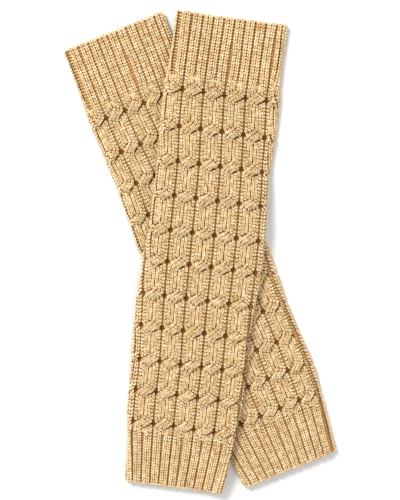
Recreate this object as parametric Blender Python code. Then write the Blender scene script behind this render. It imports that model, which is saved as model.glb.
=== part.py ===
"""A pair of cable-knit leg warmers laid flat on a table, one crossed over the other.

Each leg warmer is one knitted tube in three sections: a ribbed top cuff, a leg of rope cables and a
ribbed ankle cuff. It lies flattened, so its front panel lies on its back panel and the two meet in
round folds at the sides. The ribs and cables are raised on the front and round the folds, the back
rests flat, and the inside is a plain slit that is open at both hems.

Everything is in metres. A leg warmer has its own frame: "along" runs down its axis from the top hem
and "across" runs to the right of it. The world has +Z up and the table at zero.
"""

import math
from bisect import bisect_right
from collections import namedtuple

import bmesh
import bpy
from mathutils import Matrix, Vector

# One leg warmer
LENGTH = 0.405
TOP_CUFF_END = 0.0575
ANKLE_CUFF_START = 0.3625
SECTION_GAP = 0.0003

# The knitted wall. The thickness of the flattened tube is measured at the bottom of the grooves.
FLAT_THICKNESS = 0.0056
FOLD_RADIUS = FLAT_THICKNESS / 2
SLIT_HEIGHT = 0.0007
FOLD_WALL = 0.0024
RIM_ROUNDING = 0.0009

# Ribs and cables, raised from the bottom of the grooves. A strand's place and width are shares of a
# cable, and the dip and the pillow are measured in half lengths of a crossing.
RIB_HEIGHT = 0.0022
CABLE_HEIGHT = 0.0026
FRONT_STRAND_LIFT = 0.0012
BACK_STRAND_DROP = 0.0020
BACK_STRAND_DIP = 1.8
CROSSING_HALF_LENGTH = 0.0042
CROSSING_SLANT = 0.50
STRAND_OFF_CENTRE = 0.225
STRAND_HALF_WIDTH = 0.260
CUFF_TO_CABLE = 0.008
PILLOW_SHARE = 0.95
PILLOW_START = 1.0
PILLOW_RISE = 1.8
OUTLINE_RELIEF = 0.0018

# The cables run from the left fold to the right fold in pitches, counted from the middle groove.
LEFTMOST_CABLE = -3.75
RIGHTMOST_CABLE = 3.0
COLUMNS_IN_CABLE = (0.0, 0.08, 0.25, 0.42, 0.50, 0.58, 0.75, 0.92)
ROWS_IN_CROSSING = (-1.6, -0.8, 0.0, 0.8, 1.6)
CUFF_ROWS = 3
HALVINGS = 14

# How the flattened tube changes along its length: the distance from the axis to the outline on each
# side, the place of the middle groove, and the pitch from one cable to the next.
Section = namedtuple("Section", "along left right groove pitch")
SECTIONS = (
    Section(0.000, 0.0473, 0.0483, 0.0030, 0.0181),
    Section(0.037, 0.0478, 0.0476, 0.0024, 0.0181),
    Section(0.067, 0.0492, 0.0488, 0.0022, 0.0181),
    Section(0.098, 0.0483, 0.0492, 0.0040, 0.0184),
    Section(0.128, 0.0478, 0.0480, 0.0061, 0.0182),
    Section(0.157, 0.0478, 0.0490, 0.0074, 0.0185),
    Section(0.187, 0.0481, 0.0506, 0.0085, 0.0188),
    Section(0.217, 0.0493, 0.0511, 0.0093, 0.0188),
    Section(0.247, 0.0499, 0.0496, 0.0097, 0.0184),
    Section(0.272, 0.0499, 0.0487, 0.0105, 0.0182),
    Section(0.302, 0.0486, 0.0491, 0.0116, 0.0179),
    Section(0.327, 0.0472, 0.0496, 0.0115, 0.0178),
    Section(0.347, 0.0462, 0.0484, 0.0117, 0.0176),
    Section(0.367, 0.0432, 0.0462, 0.0114, 0.0169),
    Section(0.405, 0.0402, 0.0424, 0.0102, 0.0150),
)
CROSSINGS = (0.0670, 0.0985, 0.1282, 0.1573, 0.1869, 0.2140, 0.2428, 0.2706, 0.2992, 0.3257, 0.3530)

# Where each leg warmer lies: the middle of its top hem, how far its foot swings to the right, and
# how wide it is spread at its top, middle and bottom, against the table above
Place = namedtuple("Place", "x y swing top middle bottom")
UNDER_PLACE = Place(-0.0746, 0.1890, math.radians(22.0), 0.96, 1.05, 1.015)
OVER_PLACE = Place(0.0276, 0.2006, math.radians(-7.2), 1.0, 1.0, 1.0)

TOP_SPREAD_END = 0.090
MIDDLE_SPREAD_START = 0.200
MIDDLE_SPREAD_END = 0.320

# How the over one climbs onto the under one and comes down again past its edges
RISE = 0.0097
SLOPE_START = 0.0010
SLOPE_LENGTH = 0.0380
UNDER_BACK_COLUMNS = 2
OVER_BACK_COLUMNS = 6
SLIT_STEP = 0.020
SLIT_OVERSHOOT = 0.010

YARN_COLOUR = (0.66, 0.46, 0.23, 1.0)
YARN_ROUGHNESS = 0.85


def smooth(x):
    """Rises from 0 to 1 with level ends."""
    x = min(1.0, max(0.0, x))
    return x * x * (3 - 2 * x)


def section_at(along):
    """The flattened tube's section, read from the table along a smooth curve."""
    starts = [row.along for row in SECTIONS]
    i = min(max(bisect_right(starts, along) - 1, 0), len(SECTIONS) - 2)
    rows = [SECTIONS[min(max(n, 0), len(SECTIONS) - 1)] for n in (i - 1, i, i + 1, i + 2)]
    step = rows[2].along - rows[1].along
    u = (along - rows[1].along) / step
    read = []
    for before, low, high, after in zip(*rows):
        leaving = (high - before) / (rows[2].along - rows[0].along) * step
        arriving = (after - low) / (rows[3].along - rows[1].along) * step
        read.append(
            low * (2 * u**3 - 3 * u**2 + 1)
            + leaving * (u**3 - 2 * u**2 + u)
            + high * (3 * u**2 - 2 * u**3)
            + arriving * (u**3 - u**2)
        )
    return Section(*read)


def ridge(x):
    """The height of a round ridge with steep sides, from 1 on its crown to 0 at its sides."""
    return math.sqrt(max(0.0, 1 - abs(x) ** 4))


def rib_relief(cable):
    """Two ribs to each cable pitch."""
    return RIB_HEIGHT * ridge(2 * abs(2 * cable % 1 - 0.5))


def crossed_at(distance):
    """1 in the middle of a crossing and 0 from its ends on, with level ends."""
    return math.cos(math.pi / 2 * min(1.0, max(-1.0, distance))) ** 2


def strand_place(offset, distance, way, slant):
    """Where a line of a strand runs across its cable, this far to the right of the strand's middle. A
    strand goes over to the other side at the crossing, and its lines set off one after another."""
    turn = math.pi / 2 * min(1.0, max(-1.0, distance + way * offset * slant))
    return way * STRAND_OFF_CENTRE * math.sin(turn) + offset


def offset_in_strand(across, distance, way, slant):
    """How far to the right of a strand's middle a point of the cable is, found by halving."""
    low, high = -1.0, 1.0
    for _ in range(HALVINGS):
        middle = (low + high) / 2
        if strand_place(middle, distance, way, slant) < across:
            low = middle
        else:
            high = middle
    return (low + high) / 2


def cable_relief(cable, along):
    """A rope cable of two strands. At each crossing the right-hand strand passes in front."""
    crossing = min(CROSSINGS, key=lambda place: abs(place - along))
    distance = (along - crossing) / CROSSING_HALF_LENGTH
    slant = CROSSING_SLANT * section_at(along).pitch / CROSSING_HALF_LENGTH
    across = cable % 1 - 0.5
    front = offset_in_strand(across, distance, -1, slant)
    back = offset_in_strand(across, distance, 1, slant)
    lift = FRONT_STRAND_LIFT * crossed_at(distance - front * slant)
    drop = BACK_STRAND_DROP * crossed_at((distance + back * slant) / BACK_STRAND_DIP)
    pillow = CABLE_HEIGHT * PILLOW_SHARE * smooth((abs(distance) - PILLOW_START) / PILLOW_RISE)
    return max(
        (CABLE_HEIGHT + lift) * ridge(front / STRAND_HALF_WIDTH),
        (CABLE_HEIGHT - drop) * ridge(back / STRAND_HALF_WIDTH),
        pillow * ridge(2 * across),
    )


def relief(cable, along):
    """How far the knitting stands out of its grooves: ribs in the cuffs, cables on the leg."""
    into_leg = smooth((along - CROSSINGS[0]) / CUFF_TO_CABLE + 2)
    out_of_leg = smooth((along - CROSSINGS[-1]) / CUFF_TO_CABLE - 1)
    leg = into_leg - out_of_leg
    return leg * cable_relief(cable, along) + (1 - leg) * rib_relief(cable)


def wrapped(section, reach):
    """Where a point lies that is this far from the axis, measured on the cloth over the front, round
    the fold and under the back. Returns its place across, its height, and which way it faces."""
    side = 1 if reach > 0 else -1
    outline = section.right if side > 0 else section.left
    flat = outline - OUTLINE_RELIEF - FOLD_RADIUS
    past = abs(reach) - flat
    if past <= 0:
        return reach, FLAT_THICKNESS, Vector((0, 1))
    turn = past / FOLD_RADIUS
    if turn < math.pi:
        facing = Vector((side * math.sin(turn), math.cos(turn)))
        return side * flat + FOLD_RADIUS * facing.x, FOLD_RADIUS * (1 + facing.y), facing
    return side * (flat - (past - math.pi * FOLD_RADIUS)), 0.0, Vector((0, -1))


def knitted_point(cable, along, inset=0.0):
    """A point of the outer surface, across and height. The relief dies out towards the flat back."""
    section = section_at(along)
    across, height, facing = wrapped(section, section.groove + cable * section.pitch)
    stands_out = relief(cable, along) * smooth((facing.y + 0.95) / 0.9) - inset
    return across + facing.x * stands_out, max(0.0, height + facing.y * stands_out)


def spread(place, along):
    """How wide a leg warmer is spread here, against the section table."""
    to_middle = smooth((along - TOP_SPREAD_END) / (MIDDLE_SPREAD_START - TOP_SPREAD_END))
    to_bottom = smooth((along - MIDDLE_SPREAD_END) / (LENGTH - MIDDLE_SPREAD_END))
    return (
        place.top
        + (place.middle - place.top) * to_middle
        + (place.bottom - place.middle) * to_bottom
    )


def world_point(place, across, along):
    """From a leg warmer's own frame to the table."""
    right = Vector((math.cos(place.swing), math.sin(place.swing)))
    down = Vector((math.sin(place.swing), -math.cos(place.swing)))
    return Vector((place.x, place.y)) + right * across * spread(place, along) + down * along


def own_point(place, x, y):
    """From the table to a leg warmer's own frame, as across and along."""
    offset = Vector((x - place.x, y - place.y))
    across = offset.x * math.cos(place.swing) + offset.y * math.sin(place.swing)
    along = offset.x * math.sin(place.swing) - offset.y * math.cos(place.swing)
    return across / spread(place, along), along


def no_lift(across, along):
    return 0.0


def lift_over(across, along):
    """How high the over leg warmer's back lies: on top of the under one, and on the table past it."""
    x, y = world_point(OVER_PLACE, across, along)
    under_across, under_along = own_point(UNDER_PLACE, x, y)
    section = section_at(min(LENGTH, max(0.0, under_along)))
    outside = max(under_across - section.right, -section.left - under_across)
    return RISE * (1 - smooth((outside - SLOPE_START) / SLOPE_LENGTH))


def cable_columns():
    """The columns of the mesh over the front and both folds, closest where the form turns most."""
    cables = range(math.floor(LEFTMOST_CABLE), math.ceil(RIGHTMOST_CABLE))
    columns = [cable + column for cable in cables for column in COLUMNS_IN_CABLE]
    return [c for c in columns if LEFTMOST_CABLE <= c <= RIGHTMOST_CABLE]


def outer_ring(along, inset, back_columns, lift):
    """The outline of one row, from the left fold over the front and back along the underside."""
    ring = [knitted_point(cable, along, inset) for cable in cable_columns()]
    (first, low), (last, _) = ring[0], ring[-1]
    for n in range(1, back_columns + 1):
        ring.append((last + (first - last) * n / (back_columns + 1), low))
    return [(across, height + lift(across, along)) for across, height in ring]


def leg_rows(start, end):
    """The rows of the cable leg: five in each crossing and one between crossings."""
    rows = {start, end}
    rows.update(c + CROSSING_HALF_LENGTH * r for c in CROSSINGS for r in ROWS_IN_CROSSING)
    rows.update((a + b) / 2 for a, b in zip(CROSSINGS, CROSSINGS[1:]))
    return [(along, 0.0) for along in sorted(rows) if start <= along <= end]


def cuff_rows(hem, seam):
    """The rows of a cuff, with a rounded rim at its hem."""
    inward = math.copysign(RIM_ROUNDING, seam - hem)
    first = hem + inward
    rows = [(hem, RIM_ROUNDING)]
    rows += [(first + (seam - first) * n / CUFF_ROWS, 0.0) for n in range(CUFF_ROWS + 1)]
    return sorted(rows)


def yarn():
    material = bpy.data.materials.get("knitted_yarn") or bpy.data.materials.new("knitted_yarn")
    material.use_nodes = True
    shader = material.node_tree.nodes["Principled BSDF"]
    shader.inputs["Base Color"].default_value = YARN_COLOUR
    shader.inputs["Roughness"].default_value = YARN_ROUGHNESS
    return material


def closed_loft(name, rings, place):
    """A closed solid through rings of equal count. Its object stands at the leg warmer's place."""
    around = len(rings[0][1])
    shape = bmesh.new()
    bmesh.ops.create_grid(shape, x_segments=around, y_segments=len(rings) - 1, size=1)
    shape.verts.ensure_lookup_table()
    for number, vertex in enumerate(shape.verts):
        row, column = divmod(number, around + 1)
        along, ring = rings[row]
        across, height = ring[column % around]
        vertex.co = (across * spread(place, along), -along, height)
    bmesh.ops.remove_doubles(shape, verts=shape.verts, dist=1e-6)
    rims = [edge for edge in shape.edges if edge.is_boundary]
    bmesh.ops.edgeloop_fill(shape, edges=rims)
    bmesh.ops.recalc_face_normals(shape, faces=shape.faces)
    panels = [face for face in shape.faces if len(face.verts) == 4]
    upper = [face for face in panels if face.normal.z > 0]
    lower = [face for face in panels if face.normal.z <= 0]
    bmesh.ops.triangulate(shape, faces=upper, quad_method="FIXED")
    bmesh.ops.triangulate(shape, faces=lower, quad_method="ALTERNATE")
    mesh = bpy.data.meshes.new(name)
    shape.to_mesh(mesh)
    shape.free()
    solid = bpy.data.objects.new(name, mesh)
    solid.matrix_world = Matrix.Translation((place.x, place.y, 0)) @ Matrix.Rotation(place.swing, 4, "Z")
    bpy.context.scene.collection.objects.link(solid)
    return solid


def slit(name, place, start, end, columns, lift):
    """The cutter for the inside: the thin space between the two panels, past both ends."""
    rows = max(2, math.ceil((end - start) / SLIT_STEP))
    rings = []
    for n in range(rows + 1):
        along = start + (end - start) * n / rows
        section = section_at(along)
        left = OUTLINE_RELIEF + FOLD_WALL - section.left
        right = section.right - OUTLINE_RELIEF - FOLD_WALL
        ring = []
        for level, order in ((0.5, 1), (-0.5, -1)):
            for c in range(columns + 1)[::order]:
                across = left + (right - left) * c / columns
                height = FOLD_RADIUS + level * SLIT_HEIGHT
                ring.append((across, height + lift(across, along)))
        rings.append((along, ring))
    for end_row, way in ((0, -1), (-1, 1)):
        along, ring = rings[end_row]
        rings[end_row] = (along + way * SLIT_OVERSHOOT, ring)
    cutter = closed_loft(name, rings, place)
    cutter.hide_render = True
    cutter.display_type = "WIRE"
    return cutter


def knitted_section(name, place, rows, back_columns, lift):
    """One section of a leg warmer: the outer form with the slit cut through it."""
    rings = [(along, outer_ring(along, inset, back_columns, lift)) for along, inset in rows]
    solid = closed_loft(name, rings, place)
    solid.data.materials.append(yarn())
    solid.data.shade_smooth()
    cut = solid.modifiers.new("inside", "BOOLEAN")
    cut.operation = "DIFFERENCE"
    cut.solver = "EXACT"
    cut.object = slit(name + "_inside", place, rows[0][0], rows[-1][0], back_columns, lift)
    return solid


def leg_warmer(name, place, back_columns, lift):
    """The three knitted sections of one leg warmer, parted by the gap at each change of stitch."""
    seam = SECTION_GAP / 2
    leg = (TOP_CUFF_END + seam, ANKLE_CUFF_START - seam)
    knitted_section(
        name + "_top_cuff", place, cuff_rows(0.0, TOP_CUFF_END - seam), back_columns, lift
    )
    knitted_section(name + "_cable_leg", place, leg_rows(*leg), back_columns, lift)
    knitted_section(
        name + "_ankle_cuff", place, cuff_rows(LENGTH, ANKLE_CUFF_START + seam), back_columns, lift
    )


def main():
    for old in list(bpy.data.objects):
        bpy.data.objects.remove(old)
    leg_warmer("under", UNDER_PLACE, UNDER_BACK_COLUMNS, no_lift)
    leg_warmer("over", OVER_PLACE, OVER_BACK_COLUMNS, lift_over)


main()
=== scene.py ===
"""The looks of a pair of cable-knit leg warmers, laid flat with one crossed over the other.

Each section of the knitting is a thin wall on its solid's form, with yarn stitches over its front and
folds: V-shaped knit stitches that follow the strands of the cables, and bars of purl in the grooves.
Everything is in metres. "Along" runs down a leg warmer's axis from its top hem, "across" runs to the
right of it, and a cable coordinate counts cables from the middle groove.
"""

import math
from collections import namedtuple

import bmesh
import bpy
import numpy as np
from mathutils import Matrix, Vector


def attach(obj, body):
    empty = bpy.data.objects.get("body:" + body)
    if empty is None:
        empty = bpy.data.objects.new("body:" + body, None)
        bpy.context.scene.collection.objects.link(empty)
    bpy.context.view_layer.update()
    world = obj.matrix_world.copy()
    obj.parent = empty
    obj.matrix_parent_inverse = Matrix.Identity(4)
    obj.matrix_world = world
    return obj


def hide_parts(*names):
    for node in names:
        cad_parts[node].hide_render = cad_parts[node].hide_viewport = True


# The flattened tube, as the solids have it
LENGTH = 0.405
TOP_CUFF_END = 0.0575
ANKLE_CUFF_START = 0.3625
SECTION_GAP = 0.0003
FLAT_THICKNESS = 0.0056
FOLD_RADIUS = FLAT_THICKNESS / 2
SLIT_HEIGHT = 0.0007
FOLD_WALL = 0.0024
OUTLINE_RELIEF = 0.0018

# Sections along the axis: how far the outline lies to the left and right of it, how far to the right
# of it the middle groove runs, and how wide one cable is
Section = namedtuple("Section", "along left right groove pitch")
SECTIONS = (
    Section(0.000, 0.0473, 0.0483, 0.0030, 0.0181),
    Section(0.037, 0.0478, 0.0476, 0.0024, 0.0181),
    Section(0.067, 0.0492, 0.0488, 0.0022, 0.0181),
    Section(0.098, 0.0483, 0.0492, 0.0040, 0.0184),
    Section(0.128, 0.0478, 0.0480, 0.0061, 0.0182),
    Section(0.157, 0.0478, 0.0490, 0.0074, 0.0185),
    Section(0.187, 0.0481, 0.0506, 0.0085, 0.0188),
    Section(0.217, 0.0493, 0.0511, 0.0093, 0.0188),
    Section(0.247, 0.0499, 0.0496, 0.0097, 0.0184),
    Section(0.272, 0.0499, 0.0487, 0.0105, 0.0182),
    Section(0.302, 0.0486, 0.0491, 0.0116, 0.0179),
    Section(0.327, 0.0472, 0.0496, 0.0115, 0.0178),
    Section(0.347, 0.0462, 0.0484, 0.0117, 0.0176),
    Section(0.367, 0.0432, 0.0462, 0.0114, 0.0169),
    Section(0.405, 0.0402, 0.0424, 0.0102, 0.0150),
)

# Where the middles of the cables' crossings lie along the axis
CROSSINGS = np.array(
    (0.0670, 0.0985, 0.1282, 0.1573, 0.1869, 0.2140, 0.2428, 0.2706, 0.2992, 0.3257, 0.3530)
)

# Grooves that are pulled open between two places along the leg warmer: the groove, how much wider it
# gets and how far it moves to the right are in cables
Opened = namedtuple("Opened", "groove start end width shift")
UNDER_THE_LAST_CROSSING = tuple(
    Opened(groove, 0.348, 0.378, 0.05, 0.0) for groove in (-2.5, -1.5, -0.5, 0.5, 1.5)
)
UNDER_OPENED = (
    Opened(-2.5, -0.02, 0.060, 0.08, -0.07),
    Opened(-2.0, -0.02, 0.026, 0.04, -0.01),
    Opened(0.0, 0.014, 0.060, 0.08, 0.02),
    Opened(2.0, 0.230, 0.430, 0.09, -0.10),
    Opened(-0.5, 0.360, 0.395, 0.04, 0.0),
    *UNDER_THE_LAST_CROSSING,
)
OVER_OPENED = (
    Opened(-2.5, -0.02, 0.062, 0.08, -0.06),
    Opened(-2.0, -0.02, 0.026, 0.04, -0.02),
    Opened(0.0, 0.016, 0.062, 0.07, 0.02),
    Opened(2.0, 0.006, 0.052, 0.06, 0.0),
    Opened(2.0, 0.240, 0.370, 0.09, 0.02),
    Opened(-0.5, 0.362, 0.402, 0.05, 0.02),
    *UNDER_THE_LAST_CROSSING,
)
OPENED_FADE = 0.016
OPENED_STEP = 0.035
OPENED_REACH = 0.7

# Where the axis starts on the table, at the top hem, how far it is turned, how wide the leg warmer is
# spread at its top, middle and bottom against the section table, and its opened grooves
Place = namedtuple("Place", "x y swing top middle bottom opened")
UNDER_PLACE = Place(-0.0746, 0.1890, math.radians(22.0), 0.96, 1.05, 1.015, UNDER_OPENED)
OVER_PLACE = Place(0.0276, 0.2006, math.radians(-7.2), 1.0, 1.0, 1.0, OVER_OPENED)
TOP_SPREAD_END = 0.090
MIDDLE_SPREAD_START = 0.200
MIDDLE_SPREAD_END = 0.320

# How high the over leg warmer climbs, and where beside the under one it slopes down
RISE = 0.0097
SLOPE_START = 0.0010
SLOPE_LENGTH = 0.0380

# Ribs and cables, raised from the bottom of the grooves
RIB_HEIGHT = 0.0022
CABLE_HEIGHT = 0.0026
RIB_ROUNDNESS = 3.2
STRAND_ROUNDNESS = 2.5
FRONT_STRAND_LIFT = 0.0017
BACK_STRAND_DROP = 0.0016
BACK_STRAND_DIP = 1.6
CROSSING_HALF_LENGTH = 0.0050
CROSSING_SLANT = 0.53
CROSSING_PINCH = 0.03
PINCH_REACH = 1.2
STRAND_OFF_CENTRE = 0.240
STRAND_HALF_WIDTH = 0.270
PILLOW_SHARE = 0.93
PILLOW_SUNK = 0.40
PILLOW_NARROWED = 0.28
PILLOW_START = 0.88
PILLOW_RISE = 1.85
CUFF_TO_CABLE = 0.008
CABLE_TO_CUFF = 0.3
PIT_REACH = 1.1
HALVINGS = 14

# How crossings grow calm and all relief dies out round the folds, by how far the cloth faces up
CALM_START = 0.95
CALM_CHANGE = 0.55
FADED_FACING = -0.95
FADING_CHANGE = 0.9

# The knitting: cables round the whole tube and round its front and folds, and the places and widths of
# the stitch columns in a cable
CABLES_ROUND = 11
LEFTMOST_CABLE = -3.75
RIGHTMOST_CABLE = 3.0
COLUMNS_IN_STRAND = 3
COLUMN_STEP = 0.160
RIB_COLUMNS = (0.135, 0.365, 0.497, 0.503, 0.635, 0.865)
RIB_COLUMN_STEP = 0.230
PURL_WIDTH = 0.070
CUFF_ROW = 0.00262
LEG_ROW = 0.00256
ANKLE_ROW = 0.00226
PLACES_FOR_COUNTING = 8001
STEP_DOWN = 0.0006
STEP_ACROSS = 0.035
WIDEST_STITCH = 2.0

# The stitches that are left out: on the back, far under the other leg warmer, under a strand that
# stands out further, and in a pit
LAST_FACING = -0.45
HIDDEN_DEPTH = 0.010
COVERED_DEPTH = 0.0020
HIDDEN_IN_PIT = 0.4

# The chain along a hem
HEM_CHAIN_STEP = 0.155
HEM_CHAIN_INSET = 0.25
HEM_CHAIN_MARGIN = 0.1
HEM_WALL = 0.00245
HEM_CHAIN_WIDTH = 0.9

# One stitch, in its own directions: to the right, up its column and out of the cloth
STITCH_WIDE = 0.00275
STITCH_TALL = 0.00256
YARN_RADIUS = 0.00065
YARN_SIDES = 5
YARN_STEPS = 4
HEADING_STEP = 0.02
CREST = 0.0002

# A knit stitch, its distances across and along in shares of its width and height
FOOT_FROM_MIDDLE = 0.064
LEG_SPREAD = 0.196
SPREAD_END = 0.75
FOOT_BELOW = 0.68
LEG_LENGTH = 1.18
DIVE = 0.00130
DIVE_START = 0.50
RISE_AT_START = 0.00025
KNIT_END_RADIUS = 0.22
KNIT_FULLNESS = 0.7

# A purl bar
BAR_LENGTH = 1.25
BAR_ARCH = 0.2
PURL_DEPTH = 0.0004
BAR_END_RADIUS = 0.45
BAR_SWELLING = 0.35

# The wall under the stitches
WALL_SINK = 0.0011
WALL_CORE = 0.84
WALL_COLUMNS_PER_CABLE = 14
WALL_BACK_COLUMNS = 24
WALL_ROW = 0.0018
WALL_SEAM = SECTION_GAP / 10
# The shares that place the wall's painted shade: under the stitches, in the grooves and in the pits
WALL_SHARES = ("under_stitches", "in_groove", "in_pit")

# Hand of the knitting: how far stitches lean, vary in size and wander
LEAN = 0.03
UNEVEN = 0.03
WANDER = 0.00005

# Colours, linear
YARN_COLOUR = (0.82, 0.60, 0.32)
YARN_LIGHT = (0.97, 0.81, 0.54)
YARN_DARK = (0.64, 0.40, 0.17)
# Painted shade that the wall shows in the gaps between stitches, in the grooves and in the pits
YARN_SHADOW = (0.16, 0.072, 0.012)
GROOVE_SHADE = (0.55, 0.27, 0.075)
PIT_SHADE = (0.20, 0.072, 0.013)
TABLE_COLOUR = (0.86, 0.86, 0.86)
PATCH_COLOURS = ((0.30, YARN_DARK), (0.50, YARN_COLOUR), (0.72, YARN_LIGHT))
# Painted shade in the hollows of the back's stitches, lighter on their crowns
BACK_STITCH_SHADING = ((0.0, YARN_SHADOW), (0.35, YARN_DARK), (0.9, YARN_COLOUR))
# Painted shade under the stitches: darkest in the gaps between them, lighter in the grooves
GAP_SHADES = ((0.3, YARN_SHADOW), (0.8, GROOVE_SHADE))

# The finish of the yarn, of the plain back and of the table top
YARN_ROUGHNESS = 0.8
YARN_SHINE = 0.12
YARN_SHEEN = 0.15
SHEEN_ROUGHNESS = 0.4
SHEEN_TINT = (1.0, 0.88, 0.68)
PATCHES_PER_METRE = 330
PATCH_DETAIL = 2
FIBRES_PER_METRE = 2600
FIBRE_DETAIL = 3
FIBRE_SHARE = 0.5
PLY_ANGLE = math.radians(35)
PLY_STRETCH = 2.2
PLIES = 1.3
PLY_UNEVENNESS = 1.5
PLY_DETAIL = 2
PLY_STRENGTH = 0.6
PLY_DEPTH = 0.00015
BACK_STITCH_LEAN = 1.3
BACK_STITCH_STRENGTH = 1.0
BACK_STITCH_DEPTH = 0.0006
TABLE_ROUGHNESS = 0.9

# The picture: its middle on the table and its height there
PICTURE_MIDDLE = (0.0003, 0.0018)
PICTURE_HEIGHT = 0.427
CAMERA_LENS = 120
CAMERA_SENSOR = 36
CAMERA_ABOVE_TABLE = 0.010
CAMERA_REACH = 20
TABLE_SIZE = 3

# Two soft lights, with where they stand, how large they are and their power, and the light of the room
MAIN_LIGHT = ("main_light", (-2.2, 2.4, 3.4), 1.7, 195)
FILL_LIGHT = ("fill_light", (2.4, -1.8, 3.0), 3.0, 40)
ROOM_LIGHT = 0.65

# Points that lie this close are one
YARN_MERGE = 1e-7
WALL_MERGE = 1e-6

SEED = 11
random = np.random.default_rng(SEED)


def smooth(x):
    """Rises from 0 to 1 with level ends."""
    x = np.clip(x, 0.0, 1.0)
    return x * x * (3 - 2 * x)


def section_at(along):
    """The flattened tube's sections, read from the table along a smooth curve."""
    table = np.array(SECTIONS)
    places = table[:, 0]
    last = len(SECTIONS) - 1
    numbers = np.arange(last + 1)
    before = table[np.maximum(numbers - 1, 0)]
    after = table[np.minimum(numbers + 1, last)]
    slopes = (after - before) / (after[:, :1] - before[:, :1])
    along = np.clip(along, 0.0, LENGTH)
    i = np.clip(np.searchsorted(places, along, side="right") - 1, 0, last - 1)
    step = (places[i + 1] - places[i])[..., None]
    u = (along - places[i])[..., None] / step
    read = table[i] * (2 * u**3 - 3 * u**2 + 1)
    read = read + slopes[i] * step * (u**3 - 2 * u**2 + u)
    read = read + table[i + 1] * (3 * u**2 - 2 * u**3)
    read = read + slopes[i + 1] * step * (u**3 - u**2)
    return Section(*np.moveaxis(read, -1, 0))


def ridge(x, power=RIB_ROUNDNESS):
    """The height of a round ridge with steep sides, from 1 on its crown to 0 at its sides. The lower
    the power, the rounder its crown."""
    return np.sqrt(np.maximum(0.0, 1 - np.abs(x) ** power))


def leg_share(along):
    """0 in the ribbed cuffs and 1 on the cable leg."""
    into_leg = smooth((along - CROSSINGS[0]) / CUFF_TO_CABLE + 2)
    return into_leg - smooth((along - CROSSINGS[-1]) / CUFF_TO_CABLE - CABLE_TO_CUFF)


def crossing_at(along):
    """How far the nearest crossing is, in half lengths of a crossing, and its number."""
    offsets = along[..., None] - CROSSINGS
    number = np.abs(offsets).argmin(-1)
    nearest = np.take_along_axis(offsets, number[..., None], -1)[..., 0]
    return nearest / CROSSING_HALF_LENGTH, number


def crossed_at(distance):
    """1 in the middle of a crossing and 0 from its ends on, with level ends."""
    return np.cos(np.pi / 2 * np.clip(distance, -1, 1)) ** 2


def strand_way(strand, along):
    """1 where a strand goes over to the right at the nearest crossing, behind, and -1 where it goes
    to the left, in front. Strand 1 starts on the right and strand -1 on the left."""
    _, number = crossing_at(along)
    return np.where(number % 2 == 0, -strand, strand)


def slanted(offset, along, way):
    """How far a line of a strand is into the crossing, this far to the right of the strand's middle:
    the lines of a strand set off one after another."""
    distance, _ = crossing_at(along)
    return distance + way * offset * CROSSING_SLANT * section_at(along).pitch / CROSSING_HALF_LENGTH


def strand_place(offset, along, way):
    """Where a line of a strand runs, from the middle of its cable."""
    turn = np.pi / 2 * np.clip(slanted(offset, along, way), -1, 1)
    distance, _ = crossing_at(along)
    pinched = 1 - CROSSING_PINCH * crossed_at(distance / PINCH_REACH)
    return pinched * (way * STRAND_OFF_CENTRE * np.sin(turn) + offset)


def offset_in_strand(across, along, way):
    """How far to the right of a strand's middle a point of the cable is, found by halving."""
    low = np.full_like(across, -1.0)
    high = np.full_like(across, 1.0)
    for _ in range(HALVINGS):
        middle = (low + high) / 2
        short = strand_place(middle, along, way) < across
        low = np.where(short, middle, low)
        high = np.where(short, high, middle)
    return (low + high) / 2


def strand_relief(strand, cable, along, core, calm):
    """How far a strand of a cable, with the flat stretch between crossings, stands out. The smaller
    its core, the narrower it is. Where it is calm it neither lifts nor drops, and no pit opens."""
    way = strand_way(strand, along)
    across = cable % 1 - 0.5
    offset = offset_in_strand(across, along, way)
    into = slanted(offset, along, way)
    lift = FRONT_STRAND_LIFT * crossed_at(into)
    drop = BACK_STRAND_DROP * crossed_at(into / BACK_STRAND_DIP)
    height = CABLE_HEIGHT + (1 - calm) * np.where(way < 0, lift, -drop)
    distance, _ = crossing_at(along)
    sunk = (1 - calm) * (1 - smooth((np.abs(distance) - PILLOW_START) / PILLOW_RISE))
    pillow = CABLE_HEIGHT * (PILLOW_SHARE - PILLOW_SUNK * sunk)
    pillow_width = core * (1 - PILLOW_NARROWED * sunk)
    strand_form = height * ridge(offset / STRAND_HALF_WIDTH / core, STRAND_ROUNDNESS)
    return np.maximum(strand_form, pillow * ridge(2 * across / pillow_width))


def rib_relief(cable, core):
    """Two ribs to each cable pitch."""
    return RIB_HEIGHT * ridge(2 * np.abs(2 * cable % 1 - 0.5) / core)


def relief(cable, along, strand=0, core=1.0, calm=0.0):
    """How far the knitting stands out of its grooves: of one strand, or of whatever is in front."""
    strands = (strand,) if strand else (1, -1)
    cables = [strand_relief(each, cable, along, core, calm) for each in strands]
    leg = leg_share(along)
    return leg * np.maximum(cables[0], cables[-1]) + (1 - leg) * rib_relief(cable, core)


def wrapped(section, reach):
    """Where a point lies that is this far from the axis, measured on the cloth over the front, round
    the fold and under the back: its place across, its height and which way it faces."""
    side = np.sign(reach)
    outline = np.where(side > 0, section.right, section.left)
    flat = outline - OUTLINE_RELIEF - FOLD_RADIUS
    past = np.abs(reach) - flat
    turn = np.clip(past / FOLD_RADIUS, 0, np.pi)
    under = np.maximum(past - np.pi * FOLD_RADIUS, 0)
    across = side * (np.minimum(np.abs(reach), flat) + FOLD_RADIUS * np.sin(turn) - under)
    height = FOLD_RADIUS * (1 + np.cos(turn))
    return across, height, side * np.sin(turn), np.cos(turn)


def spread(place, along):
    """How wide a leg warmer is spread here, against the section table."""
    to_middle = smooth((along - TOP_SPREAD_END) / (MIDDLE_SPREAD_START - TOP_SPREAD_END))
    to_bottom = smooth((along - MIDDLE_SPREAD_END) / (LENGTH - MIDDLE_SPREAD_END))
    widened = place.top + (place.middle - place.top) * to_middle
    return widened + (place.bottom - place.middle) * to_bottom


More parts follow.
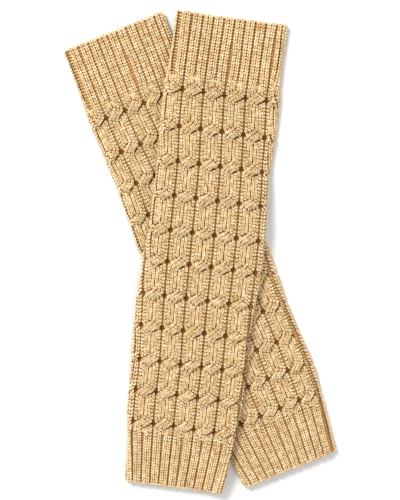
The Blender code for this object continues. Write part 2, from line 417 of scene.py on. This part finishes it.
def to_table(place, across, along):
    """From a leg warmer's own frame to the table."""
    across = across * spread(place, along)
    x = place.x + across * math.cos(place.swing) + along * math.sin(place.swing)
    y = place.y + across * math.sin(place.swing) - along * math.cos(place.swing)
    return x, y


def from_table(place, x, y):
    """From the table to a leg warmer's own frame, as across and along."""
    across = (x - place.x) * math.cos(place.swing) + (y - place.y) * math.sin(place.swing)
    along = (x - place.x) * math.sin(place.swing) - (y - place.y) * math.cos(place.swing)
    return across / spread(place, along), along


def outside_of(place, x, y):
    """How far a point of the table is outside a leg warmer's long sides, and past its hems."""
    across, along = from_table(place, x, y)
    section = section_at(along)
    sides = np.maximum(across - section.right, -section.left - across)
    return sides, np.maximum(-along, along - LENGTH)


def lift_at(place, x, y):
    """How high a leg warmer's back lies: the over one climbs over the under one."""
    if place is UNDER_PLACE:
        return np.zeros_like(x)
    sides, _ = outside_of(UNDER_PLACE, x, y)
    return RISE * (1 - smooth((sides - SLOPE_START) / SLOPE_LENGTH))


def opened_share(opened, along):
    """1 where a groove is pulled open, and 0 beyond its ends."""
    return smooth((along - opened.start) / OPENED_FADE) * smooth((opened.end - along) / OPENED_FADE)


def reach_at(place, cable, along):
    """How far from the axis a cable coordinate lies on the cloth, with some grooves pulled open."""
    moved = cable
    for opened in place.opened:
        fade = opened_share(opened, along)
        beside = cable - opened.groove
        move = opened.shift + opened.width / 2 * np.tanh(beside / OPENED_STEP)
        moved = moved + fade * move * np.exp(-((beside / OPENED_REACH) ** 2))
    section = section_at(along)
    return section.groove + moved * section.pitch


def cloth_point(place, cable, along, stands_out):
    """A point of the cloth on the table, this far out of the bottom of the grooves."""
    reach = reach_at(place, cable, along)
    across, height, sideways, upwards = wrapped(section_at(along), reach)
    x, y = to_table(place, across + sideways * stands_out, along)
    z = np.maximum(0.0, height + upwards * stands_out) + lift_at(place, x, y)
    return np.stack((x, y, z), axis=-1)


def facing_at(place, cable, along):
    """How far the cloth faces up: 1 on the front, 0 at the middle of a fold and -1 on the back."""
    return wrapped(section_at(along), reach_at(place, cable, along))[3]


def calm_at(facing):
    """Crossings are pulled flat round the folds: 0 on the front and 1 from there on."""
    return smooth((CALM_START - facing) / CALM_CHANGE)


def fading_at(facing):
    """The relief dies out towards the flat back: 1 on the front and 0 there."""
    return smooth((facing - FADED_FACING) / FADING_CHANGE)


def knitted_point(place, cable, along, strand=0):
    """A point of the knitted surface."""
    facing = facing_at(place, cable, along)
    stands_out = relief(cable, along, strand, calm=calm_at(facing)) * fading_at(facing)
    return cloth_point(place, cable, along, stands_out)


def column_place(strand, number, along):
    """Where a stitch column runs across its cable: column 0, 1 or 2 of a strand."""
    way = strand_way(strand, along)
    cable_place = 0.5 + strand_place(COLUMN_STEP * (number - 1), along, way)
    left_rib = RIB_COLUMNS[number]
    right_rib = RIB_COLUMNS[number + COLUMNS_IN_STRAND]
    rib_place = np.where(strand_side(strand, along) > 0, right_rib, left_rib)
    leg = leg_share(along)
    return leg * cable_place + (1 - leg) * rib_place


def strand_side(strand, along):
    """Above 0 where a strand is on the right of its cable."""
    return strand_place(0.0, along, strand_way(strand, along))


def is_purl(strand, number, along):
    """The inner column of each strand is purl in the cuffs."""
    inner = np.where(strand_side(strand, along) > 0, number == 0, number == 2)
    return inner & (leg_share(along) < 0.5)


Stitches = namedtuple("Stitches", "point right up out wide tall purl")


def unit(vectors):
    """The same directions, each one long."""
    return vectors / np.linalg.norm(vectors, axis=-1, keepdims=True)


def stitches_on(place, column, along, strand, share, purl):
    """The places and directions of the stitches of one column, which is this share of a cable wide.
    Stitches are pulled wider round a fold."""
    cable = column(along)
    point = knitted_point(place, cable, along, strand)
    below = knitted_point(place, column(along + STEP_DOWN), along + STEP_DOWN, strand)
    above = knitted_point(place, column(along - STEP_DOWN), along - STEP_DOWN, strand)
    right = knitted_point(place, cable + STEP_ACROSS, along, strand)
    left = knitted_point(place, cable - STEP_ACROSS, along, strand)
    up = unit(above - below)
    out = unit(np.cross(right - left, up))
    stretch = np.linalg.norm(right - left, axis=-1) / (2 * STEP_ACROSS)
    wide = share * np.minimum(stretch, WIDEST_STITCH * section_at(along).pitch)
    return Stitches(point, np.cross(up, out), up, out, wide, row_height(along), purl)


def shown(place, cable, along, point):
    """Whether a stitch is on the front or a fold, and not far under the other leg warmer."""
    facing = facing_at(place, cable, along) > LAST_FACING
    if place is OVER_PLACE:
        return facing
    sides, ends = outside_of(OVER_PLACE, point[:, 0], point[:, 1])
    return facing & (np.maximum(sides, ends) > -HIDDEN_DEPTH)


def joined(groups):
    """Several groups of stitches as one."""
    return Stitches(*(np.concatenate(parts) for parts in zip(*groups)))


def chosen(stitches, keep):
    """The stitches that are kept."""
    return Stitches(*(part[keep] for part in stitches))


def row_height(along):
    """How tall a row is: shorter in the ankle cuff."""
    places = (TOP_CUFF_END, CROSSINGS[0], CROSSINGS[-1], ANKLE_CUFF_START)
    return np.interp(along, places, (CUFF_ROW, LEG_ROW, LEG_ROW, ANKLE_ROW))


def row_places():
    """Where each row lies along the leg warmer. A strand is longer where it crosses."""
    fine = np.linspace(0, LENGTH, PLACES_FOR_COUNTING)
    across = column_place(1, 1, fine) * section_at(fine).pitch
    length = np.hypot(np.gradient(fine), np.gradient(across))
    count = np.cumsum(length / row_height(fine))
    count -= count[0]
    rows = round(count[-1])
    return np.interp((np.arange(rows) + 0.5) * count[-1] / rows, count, fine)


def rows_in_column(strand, number, rows):
    """A row runs square to a slanting strand, so the outer columns' stitches are moved along it."""
    distance, _ = crossing_at(rows)
    offset = COLUMN_STEP * (number - 1) * section_at(rows).pitch
    lag = -strand_way(strand, rows) * CROSSING_SLANT * offset
    return rows + lag * (1 - smooth((np.abs(distance) - 1) / 2))


def cable_columns(place, cable, rows):
    """The six columns of one cable. What a strand in front covers is left out."""
    leg = leg_share(rows)
    for strand in (-1, 1):
        for number in range(COLUMNS_IN_STRAND):
            def column(along, strand=strand, number=number):
                return cable + column_place(strand, number, along)

            slanting = rows_in_column(strand, number, rows)
            purl = is_purl(strand, number, rows)
            share = np.where(purl, PURL_WIDTH, leg * COLUMN_STEP + (1 - leg) * RIB_COLUMN_STEP)
            stitches = stitches_on(place, column, slanting, strand, share, purl)
            places = column(slanting)
            covered = relief(places, slanting) - relief(places, slanting, strand) > COVERED_DEPTH
            yield chosen(stitches, shown(place, places, slanting, stitches.point) & ~covered)


def groove_column(place, cable, rows):
    """The purl column in the groove to the left of a cable. Pits that aren't pulled open hide it."""
    def column(along):
        return np.full_like(along, float(cable))

    stitches = stitches_on(place, column, rows, 0, PURL_WIDTH, np.ones(len(rows), bool))
    hidden = leg_share(rows) * crossed_at(crossing_at(rows)[0] / PIT_REACH) > HIDDEN_IN_PIT
    for opened in place.opened:
        if opened.groove == cable:
            hidden = hidden & (opened_share(opened, rows) < 0.5)
    return chosen(stitches, shown(place, column(rows), rows, stitches.point) & ~hidden)


def section_stitches(place, start, end):
    """All stitches that show between two places along a leg warmer."""
    rows = row_places()
    rows = rows[(rows > start) & (rows < end)]
    groups = []
    for cable in range(math.floor(LEFTMOST_CABLE) - 1, math.ceil(RIGHTMOST_CABLE) + 1):
        groups += cable_columns(place, cable, rows)
        groups.append(groove_column(place, cable, rows))
    return joined(groups)


def hem_stitches(place, hem):
    """The chain of the cast-on or cast-off edge, which runs along the rim of the front and folds."""
    first = LEFTMOST_CABLE + HEM_CHAIN_INSET
    cables = np.arange(first, RIGHTMOST_CABLE - HEM_CHAIN_MARGIN, HEM_CHAIN_STEP)
    along = np.full_like(cables, hem)
    wall = HEM_WALL + relief(cables, along) * fading_at(facing_at(place, cables, along))

    def middle(cable):
        return cloth_point(place, cable, along, wall / 2 - HEM_WALL)

    point = middle(cables)
    up = unit(middle(cables + HEM_CHAIN_STEP / 2) - middle(cables - HEM_CHAIN_STEP / 2))
    x, y = to_table(place, 0.0, -1.0 if hem == 0 else 1.0)
    out = np.tile(unit(np.array((x - place.x, y - place.y, 0.0))), (len(cables), 1))
    tall = HEM_CHAIN_STEP * section_at(along).pitch
    purl = np.zeros(len(cables), bool)
    stitches = Stitches(point, np.cross(up, out), up, out, wall * HEM_CHAIN_WIDTH, tall, purl)
    return chosen(stitches, shown(place, cables, along, point))


def add_yarn(shape, path, radius):
    """A short length of yarn along a path, added to the stitch that is copied."""
    grid = {"x_segments": YARN_SIDES, "y_segments": YARN_STEPS, "size": 0.5, "calc_uvs": True}
    tube = bmesh.ops.create_grid(shape, **grid)
    for vertex in tube["verts"]:
        around = (vertex.co.x + 0.5) * 2 * math.pi
        u = vertex.co.y + 0.5
        heading = (Vector(path(u + HEADING_STEP)) - Vector(path(u - HEADING_STEP))).normalized()
        sideways = heading.cross(Vector((0, 0, 1))).normalized()
        outwards = sideways.cross(heading)
        ring = math.cos(around) * sideways + math.sin(around) * outwards
        vertex.co = Vector(path(u)) + radius(u) * ring
    bmesh.ops.remove_doubles(shape, verts=tube["verts"], dist=YARN_MERGE)


def knit_stitch():
    """A V of two legs. Each comes up near the middle, and dives under the stitch above."""
    shape = bmesh.new()
    shape.loops.layers.uv.new("yarn")
    for side in (-1, 1):
        def path(u, side=side):
            spread_so_far = math.sin(math.pi / 2 * min(1, max(0, u / SPREAD_END)))
            across = side * (FOOT_FROM_MIDDLE + LEG_SPREAD * spread_so_far)
            dive = DIVE * (max(0, u - DIVE_START) / (1 - DIVE_START)) ** 2
            height = CREST - YARN_RADIUS - RISE_AT_START * (1 - u) ** 2 - dive
            return across * STITCH_WIDE, (LEG_LENGTH * u - FOOT_BELOW) * STITCH_TALL, height

        def radius(u):
            fullness = math.sin(math.pi * u) ** KNIT_FULLNESS
            return YARN_RADIUS * (KNIT_END_RADIUS + (1 - KNIT_END_RADIUS) * fullness)

        add_yarn(shape, path, radius)
    return shape


def purl_stitch():
    """A bar across the column, lower than the knit stitches beside it."""
    shape = bmesh.new()
    shape.loops.layers.uv.new("yarn")

    def path(u):
        arch = math.sin(math.pi * u)
        across = (u - 0.5) * BAR_LENGTH * STITCH_WIDE
        height = CREST - YARN_RADIUS - PURL_DEPTH * (2 - arch)
        return across, BAR_ARCH * arch * STITCH_TALL, height

    def radius(u):
        return YARN_RADIUS * (BAR_END_RADIUS + BAR_SWELLING * math.sin(math.pi * u))

    add_yarn(shape, path, radius)
    return shape


Pattern = namedtuple("Pattern", "points faces yarn")


def pattern_of(shape):
    """A stitch as arrays, for copying."""
    bmesh.ops.recalc_face_normals(shape, faces=shape.faces)
    layer = shape.loops.layers.uv["yarn"]
    points = np.array([vertex.co for vertex in shape.verts])
    faces = np.array([[vertex.index for vertex in face.verts] for face in shape.faces])
    yarn = np.array([loop[layer].uv for face in shape.faces for loop in face.loops])
    shape.free()
    return Pattern(points, faces, yarn)


def copied(pattern, stitches):
    """The points, faces and yarn coordinates of a pattern that is copied to each stitch."""
    count = len(stitches.point)
    lean = random.normal(0, LEAN, (count, 1))
    right = unit(stitches.right + lean * stitches.up)
    up = unit(stitches.up - lean * stitches.right)
    scale = 1 + random.normal(0, UNEVEN, (count, 3))
    shift = random.normal(0, WANDER, (count, 3))
    across = pattern.points[:, 0] * (scale[:, 0] * stitches.wide / STITCH_WIDE)[:, None]
    along = pattern.points[:, 1] * (scale[:, 1] * stitches.tall / STITCH_TALL)[:, None]
    height = pattern.points[:, 2] * scale[:, 2:]
    points = stitches.point[:, None] + shift[:, None]
    points = points + across[..., None] * right[:, None]
    points = points + along[..., None] * up[:, None]
    points = points + height[..., None] * stitches.out[:, None]
    points[..., 2] = np.maximum(points[..., 2], 0.0)
    starts = np.arange(count)[:, None, None] * len(pattern.points)
    faces = (pattern.faces + starts).reshape(-1, 4)
    return points.reshape(-1, 3), faces, np.tile(pattern.yarn, (count, 1))


def yarn_piece(name, stitches, material):
    """One piece with all its stitches, knit and purl."""
    knit = copied(KNIT, chosen(stitches, ~stitches.purl))
    purl = copied(PURL, chosen(stitches, stitches.purl))
    points = np.concatenate((knit[0], purl[0]))
    faces = np.concatenate((knit[1], purl[1] + len(knit[0])))
    yarn = np.concatenate((knit[2], purl[2]))
    mesh = bpy.data.meshes.new(name)
    mesh.vertices.add(len(points))
    mesh.vertices.foreach_set("co", points.ravel())
    mesh.loops.add(faces.size)
    mesh.loops.foreach_set("vertex_index", faces.ravel())
    mesh.polygons.add(len(faces))
    mesh.polygons.foreach_set("loop_start", np.arange(len(faces)) * 4)
    mesh.uv_layers.new(name="yarn").data.foreach_set("uv", yarn.ravel())
    mesh.update(calc_edges=True)
    mesh.shade_smooth()
    mesh.materials.append(material)
    piece = bpy.data.objects.new(name, mesh)
    bpy.context.scene.collection.objects.link(piece)
    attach(piece, "root")
    return piece


def closed_ring(front, back):
    """Rings of values: over the front and folds, then on the back, and the first one again."""
    return np.concatenate((front, back, front[:, :1]), axis=1)


def wall_rings(place, start, end):
    """The outer and inner surface of a section's wall, as two grids of points on the table, and the
    shares of the outer one, which place its painted shade under the stitches, in the grooves and pits."""
    rows = np.linspace(start, end, round((end - start) / WALL_ROW) + 1)
    count = round((RIGHTMOST_CABLE - LEFTMOST_CABLE) * WALL_COLUMNS_PER_CABLE)
    cables = np.linspace(LEFTMOST_CABLE, RIGHTMOST_CABLE, count + 1)
    cable, along = np.meshgrid(cables, rows)
    section = section_at(along)
    across, height, sideways, upwards = wrapped(section, reach_at(place, cable, along))
    fading = fading_at(upwards)
    core_relief = relief(cable, along, core=WALL_CORE, calm=calm_at(upwards))
    stands_out = (core_relief - WALL_SINK) * fading
    outer = (across + sideways * stands_out, height + upwards * stands_out)
    inner_left = OUTLINE_RELIEF + FOLD_WALL - section.left
    inner_right = section.right - OUTLINE_RELIEF - FOLD_WALL
    inner = (np.clip(across, inner_left, inner_right), FOLD_RADIUS + upwards * SLIT_HEIGHT / 2)
    share = np.arange(1, WALL_BACK_COLUMNS + 1) / (WALL_BACK_COLUMNS + 1)
    grids = []
    for surface_across, surface_height in (outer, inner):
        back = surface_across[:, -1:] + (surface_across[:, :1] - surface_across[:, -1:]) * share
        back_height = np.repeat(surface_height[:, :1], WALL_BACK_COLUMNS, axis=1)
        x, y = to_table(place, closed_ring(surface_across, back), rows[:, None])
        ring_height = closed_ring(surface_height, back_height)
        grids.append(np.stack((x, y, ring_height + lift_at(place, x, y)), axis=-1))
    # Where the wall takes painted groove shade: the lower the relief, the more
    groove = smooth(1 - core_relief / CABLE_HEIGHT)
    # Where the wall takes the darker painted shade of the pits
    pit = leg_share(along) * crossed_at(crossing_at(along)[0] / PIT_REACH) * (1 - calm_at(upwards))
    none_on_back = np.zeros((len(rows), WALL_BACK_COLUMNS))
    shares = [closed_ring(share, none_on_back) for share in (fading, groove, pit)]
    return grids[0], grids[1], shares


def knitted_wall(name, node, place, start, end, material):
    """The wall of one section: a flattened tube that is open at both ends."""
    outer, inner, shares = wall_rings(place, start, end)
    points = np.concatenate((outer, inner[::-1], outer[:1]))
    rows, columns, _ = points.shape
    shape = bmesh.new()
    bmesh.ops.create_grid(shape, x_segments=columns - 1, y_segments=rows - 1, size=1)
    for vertex, point in zip(shape.verts, points.reshape(-1, 3)):
        vertex.co = point
    for share_name, outer_share in zip(WALL_SHARES, shares):
        layer = shape.verts.layers.float.new(share_name)
        all_shares = np.concatenate((outer_share, 0 * outer_share[::-1], outer_share[:1]))
        for vertex, share in zip(shape.verts, all_shares.ravel()):
            vertex[layer] = share
    bmesh.ops.remove_doubles(shape, verts=shape.verts, dist=WALL_MERGE)
    bmesh.ops.recalc_face_normals(shape, faces=shape.faces)
    mesh = bpy.data.meshes.new(name)
    shape.to_mesh(mesh)
    shape.free()
    mesh.shade_smooth()
    mesh.materials.append(material)
    wall = bpy.data.objects.new(name, mesh)
    bpy.context.scene.collection.objects.link(wall)
    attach(wall, "root")
    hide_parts(node)
    return wall


def new_material(name):
    """An empty material, with its nodes and links."""
    material = bpy.data.materials.new(name)
    material.use_nodes = True
    return material, material.node_tree.nodes, material.node_tree.links


def yarn_shader(nodes):
    """Dull yarn with a little sheen from its fibres."""
    shader = nodes["Principled BSDF"]
    shader.inputs["Roughness"].default_value = YARN_ROUGHNESS
    shader.inputs["Specular IOR Level"].default_value = YARN_SHINE
    shader.inputs["Sheen Weight"].default_value = YARN_SHEEN
    shader.inputs["Sheen Roughness"].default_value = SHEEN_ROUGHNESS
    shader.inputs["Sheen Tint"].default_value = (*SHEEN_TINT, 1)
    return shader


def colour_ramp(nodes, stops):
    """Colours that run into each other between their positions."""
    ramp = nodes.new("ShaderNodeValToRGB")
    elements = ramp.color_ramp.elements
    while len(elements) < len(stops):
        elements.new(0.5)
    for element, (position, colour) in zip(elements, stops):
        element.position = position
        element.color = (*colour, 1)
    return ramp


def noise(nodes, links, coordinates, scale, detail):
    """Soft uneven patches, so many to the metre."""
    texture = nodes.new("ShaderNodeTexNoise")
    texture.inputs["Scale"].default_value = scale
    texture.inputs["Detail"].default_value = detail
    links.new(coordinates, texture.inputs["Vector"])
    return texture.outputs["Fac"]


def raised(nodes, links, shader, height, strength, depth):
    """Gives a shader the relief of a height, this deep in metres."""
    bump = nodes.new("ShaderNodeBump")
    bump.inputs["Strength"].default_value = strength
    bump.inputs["Distance"].default_value = depth
    links.new(height, bump.inputs["Height"])
    links.new(bump.outputs["Normal"], shader.inputs["Normal"])


def math_node(nodes, links, operation, *values):
    """The result of an operation on numbers and other nodes' results."""
    node = nodes.new("ShaderNodeMath")
    node.operation = operation
    for socket, value in zip(node.inputs, values):
        if isinstance(value, (int, float)):
            socket.default_value = value
        else:
            links.new(value, socket)
    return node.outputs["Value"]


def wound_plies(nodes, links, around_and_along):
    """Plies that wind round a length of yarn."""
    twist = nodes.new("ShaderNodeMapping")
    twist.inputs["Rotation"].default_value = (0, 0, PLY_ANGLE)
    twist.inputs["Scale"].default_value = (1, PLY_STRETCH, 1)
    links.new(around_and_along, twist.inputs["Vector"])
    plies = nodes.new("ShaderNodeTexWave")
    plies.inputs["Scale"].default_value = PLIES
    plies.inputs["Distortion"].default_value = PLY_UNEVENNESS
    plies.inputs["Detail"].default_value = PLY_DETAIL
    links.new(twist.outputs["Vector"], plies.inputs["Vector"])
    return plies.outputs["Fac"]


def plied_yarn():
    """Soft plied yarn: uneven camel colour, and plies that wind round it."""
    material, nodes, links = new_material("plied_yarn")
    shader = yarn_shader(nodes)
    place = nodes.new("ShaderNodeTexCoord").outputs
    patches = noise(nodes, links, place["Object"], PATCHES_PER_METRE, PATCH_DETAIL)
    colours = colour_ramp(nodes, PATCH_COLOURS)
    links.new(patches, colours.inputs["Fac"])
    links.new(colours.outputs["Color"], shader.inputs["Base Color"])
    plies = wound_plies(nodes, links, place["UV"])
    fibres = noise(nodes, links, place["Object"], FIBRES_PER_METRE, FIBRE_DETAIL)
    height = math_node(nodes, links, "MULTIPLY_ADD", fibres, FIBRE_SHARE, plies)
    raised(nodes, links, shader, height, PLY_STRENGTH, PLY_DEPTH)
    return material


def back_stitches(nodes, links, place):
    """The height of plain knit stitches on a leg warmer's back: two leaning legs to each."""
    coordinates = nodes.new("ShaderNodeTexCoord")
    turned = nodes.new("ShaderNodeMapping")
    turned.inputs["Rotation"].default_value = (0, 0, -place.swing)
    links.new(coordinates.outputs["Object"], turned.inputs["Vector"])
    own = nodes.new("ShaderNodeSeparateXYZ")
    links.new(turned.outputs["Vector"], own.inputs["Vector"])
    column = math_node(nodes, links, "DIVIDE", own.outputs["X"], STITCH_WIDE)
    row = math_node(nodes, links, "DIVIDE", own.outputs["Y"], STITCH_TALL)
    beside = math_node(nodes, links, "PINGPONG", column, 0.5)
    leaning = math_node(nodes, links, "MULTIPLY_ADD", beside, -BACK_STITCH_LEAN, row)
    down_leg = math_node(nodes, links, "SINE", math_node(nodes, links, "MULTIPLY", leaning, math.pi))
    round_leg = math_node(nodes, links, "SINE", math_node(nodes, links, "MULTIPLY", beside, 2 * math.pi))
    return math_node(nodes, links, "MULTIPLY", math_node(nodes, links, "ABSOLUTE", down_leg), round_leg)


def share_of(nodes, name):
    """One of the shares that a wall's points carry."""
    attribute = nodes.new("ShaderNodeAttribute")
    attribute.attribute_name = name
    return attribute.outputs["Fac"]


def mixed(nodes, links, share, colour, other):
    """One colour where the share is 0, and another where it is 1."""
    mix = nodes.new("ShaderNodeMix")
    mix.data_type = "RGBA"
    links.new(share, mix.inputs["Factor"])
    links.new(colour, mix.inputs["A"])
    if isinstance(other, tuple):
        mix.inputs["B"].default_value = (*other, 1)
    else:
        links.new(other, mix.inputs["B"])
    return mix.outputs["Result"]


def knitted_back(name, place):
    """The plain back, with knit stitches as bump and painted shade in their hollows, and painted shade
    where the wall shows in the gaps, grooves and pits under the real stitches.
    """
    material, nodes, links = new_material(name)
    shader = yarn_shader(nodes)
    height = back_stitches(nodes, links, place)
    raised(nodes, links, shader, height, BACK_STITCH_STRENGTH, BACK_STITCH_DEPTH)
    # Painted shade in the hollows of the back's stitches, by their height
    stitches = colour_ramp(nodes, BACK_STITCH_SHADING)
    links.new(height, stitches.inputs["Fac"])
    # Painted shade where the wall shows under the stitches, lighter in the grooves
    gaps = colour_ramp(nodes, GAP_SHADES)
    links.new(share_of(nodes, "in_groove"), gaps.inputs["Fac"])
    # Darker painted shade in the pits
    darkened = mixed(nodes, links, share_of(nodes, "in_pit"), gaps.outputs["Color"], PIT_SHADE)
    # Painted shade on the front and folds, where the wall lies under the stitches; the back's stitches
    # on the back
    under_stitches = share_of(nodes, "under_stitches")
    colour = mixed(nodes, links, under_stitches, stitches.outputs["Color"], darkened)
    links.new(colour, shader.inputs["Base Color"])
    return material


def leg_warmer(name, place, back_material, yarn_material):
    """The walls and stitches of one leg warmer. The leg's stitches are two pieces."""
    middle = (TOP_CUFF_END + ANKLE_CUFF_START) / 2
    leg_start = TOP_CUFF_END + WALL_SEAM
    leg_end = ANKLE_CUFF_START - WALL_SEAM
    leg_stretches = ((TOP_CUFF_END, middle), (middle, ANKLE_CUFF_START))
    ankle_stretches = ((ANKLE_CUFF_START, LENGTH),)
    sections = (
        ("top_cuff", 0.0, TOP_CUFF_END - WALL_SEAM, ((0.0, TOP_CUFF_END),), 0.0),
        ("cable_leg", leg_start, leg_end, leg_stretches, None),
        ("ankle_cuff", ANKLE_CUFF_START + WALL_SEAM, LENGTH, ankle_stretches, LENGTH),
    )
    for section, start, end, stretches, hem in sections:
        node = f"{name}_{section}"
        wall = knitted_wall(f"{node}_wall", node, place, start, end, back_material)
        for number, stretch in enumerate(stretches):
            stitches = section_stitches(place, *stretch)
            if hem is not None:
                stitches = joined((stitches, hem_stitches(place, hem)))
            yarn_piece(f"{node}_stitches_{number + 1}", stitches, yarn_material)
        round_it = CABLES_ROUND * float(section_at(np.array((start + end) / 2)).pitch)


def table_top():
    """The pale surface that the pair lies on."""
    shape = bmesh.new()
    bmesh.ops.create_grid(shape, x_segments=1, y_segments=1, size=TABLE_SIZE)
    mesh = bpy.data.meshes.new("table_top")
    shape.to_mesh(mesh)
    shape.free()
    material, nodes, _ = new_material("pale_table")
    nodes["Principled BSDF"].inputs["Base Color"].default_value = (*TABLE_COLOUR, 1)
    nodes["Principled BSDF"].inputs["Roughness"].default_value = TABLE_ROUGHNESS
    mesh.materials.append(material)
    table = bpy.data.objects.new("table_top", mesh)
    bpy.context.scene.collection.objects.link(table)


def soft_light(name, where, size, power):
    """A square light that shines on the middle of the table."""
    light = bpy.data.lights.new(name, "AREA")
    light.size = size
    light.energy = power
    stand = bpy.data.objects.new(name, light)
    stand.location = where
    stand.rotation_euler = (-Vector(where)).to_track_quat("-Z", "Y").to_euler()
    bpy.context.scene.collection.objects.link(stand)


def studio():
    """The camera straight above, a soft main light from the upper left, a weak one from the lower
    right, and even white light from all round."""
    camera = bpy.data.cameras.new("camera")
    camera.lens = CAMERA_LENS
    camera.sensor_width = CAMERA_SENSOR
    camera.clip_end = CAMERA_REACH
    distance = PICTURE_HEIGHT * CAMERA_LENS / CAMERA_SENSOR
    stand = bpy.data.objects.new("camera", camera)
    stand.location = (*PICTURE_MIDDLE, distance + CAMERA_ABOVE_TABLE)
    bpy.context.scene.collection.objects.link(stand)
    bpy.context.scene.camera = stand
    soft_light(*MAIN_LIGHT)
    soft_light(*FILL_LIGHT)
    world = bpy.data.worlds.new("studio")
    world.use_nodes = True
    world.node_tree.nodes["Background"].inputs["Color"].default_value = (1, 1, 1, 1)
    world.node_tree.nodes["Background"].inputs["Strength"].default_value = ROOM_LIGHT
    bpy.context.scene.world = world
    bpy.context.scene.view_settings.view_transform = "Standard"


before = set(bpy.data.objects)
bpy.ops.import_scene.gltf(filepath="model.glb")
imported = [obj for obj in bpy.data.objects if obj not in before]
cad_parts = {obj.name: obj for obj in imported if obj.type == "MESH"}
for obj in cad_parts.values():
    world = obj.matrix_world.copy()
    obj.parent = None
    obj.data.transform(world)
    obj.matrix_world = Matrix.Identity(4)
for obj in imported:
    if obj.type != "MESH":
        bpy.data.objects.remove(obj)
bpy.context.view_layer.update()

KNIT = pattern_of(knit_stitch())
PURL = pattern_of(purl_stitch())
yarn = plied_yarn()
leg_warmer("under", UNDER_PLACE, knitted_back("under_back", UNDER_PLACE), yarn)
leg_warmer("over", OVER_PLACE, knitted_back("over_back", OVER_PLACE), yarn)
table_top()
studio()
